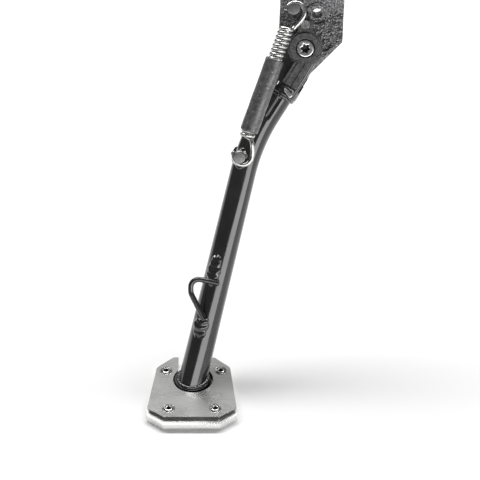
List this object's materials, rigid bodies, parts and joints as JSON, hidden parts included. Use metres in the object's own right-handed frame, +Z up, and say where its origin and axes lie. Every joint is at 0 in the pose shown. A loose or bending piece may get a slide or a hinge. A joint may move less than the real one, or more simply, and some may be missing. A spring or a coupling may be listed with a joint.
{
  "type": "motorcycle side stand",
  "caption": "Motorcycle side stand: a bent tube leg on a clevis pivot, with return spring, rotary switch, kick loop and a wide bolted foot plate.",
  "frame": {"origin": "middle of the two frame bolts, on the bracket's mounting face", "axes": "+X to the motorcycle's rear, +Y from the bracket into the frame, +Z up; the foot plate lies flat on the ground with the stand down"},
  "size_m": [0.1934, 0.2448, 0.39],
  "materials": {
    "bracket_paint": "satin black paint on a rough forging",
    "leg_paint": "gloss black paint",
    "zinc": "bright zinc plate",
    "bronze": "machined bronze",
    "switch_plastic": "textured black nylon",
    "gland_rubber": "matt",
    "post_steel": "turned, dull",
    "spring_wire": "bright plated wire",
    "sleeve_rubber": "semi-gloss, slightly mottled",
    "foot_aluminium": "satin anodised",
    "foot_stainless": "fine brushed",
    "screw_steel": "polished"
  },
  "bodies": {
    "bracket": {"frame_bracket": "bracket_paint", "pivot_bush": "bronze", "thrust_washers": "zinc", "switch_base": "switch_plastic", "cable_gland": "gland_rubber", "tab_screw": "zinc", "upper_spring_post": "post_steel"},
    "leg": {"leg_head": "leg_paint", "leg_tube": "leg_paint", "collar_weld": "leg_paint", "kick_loop": "leg_paint", "loop_welds": "leg_paint", "lower_spring_post": "post_steel", "post_weld": "leg_paint", "pivot_bolt": "zinc", "pivot_nut": "zinc", "switch_arm": "switch_plastic", "switch_key": "zinc", "stand_foot": "leg_paint", "foot_weld": "leg_paint", "foot_base_plate": "foot_aluminium", "foot_cover_plate": "foot_stainless", "plate_screws": "screw_steel"},
    "spring": {"return_spring": "spring_wire", "spring_sleeve": "sleeve_rubber"}
  },
  "joints": [
    {"name": "stand_fold", "type": "hinge", "parent": "bracket", "child": "leg", "pos_m": [-0.012, -0.02397, -0.052], "axis": [0, -0.8829, 0.4695], "range_deg": [0, 98]},
    {"name": "spring_swing", "type": "hinge", "parent": "bracket", "child": "spring", "pos_m": [-0.02398, -0.00615, -0.01847], "axis": [0, -0.8829, 0.4695], "range_deg": [0, 76], "deforming": ["return_spring"]}
  ],
  "couplings": [
    {"joint": "spring_swing", "follows": "stand_fold", "ratio": 0.76645}
  ]
}
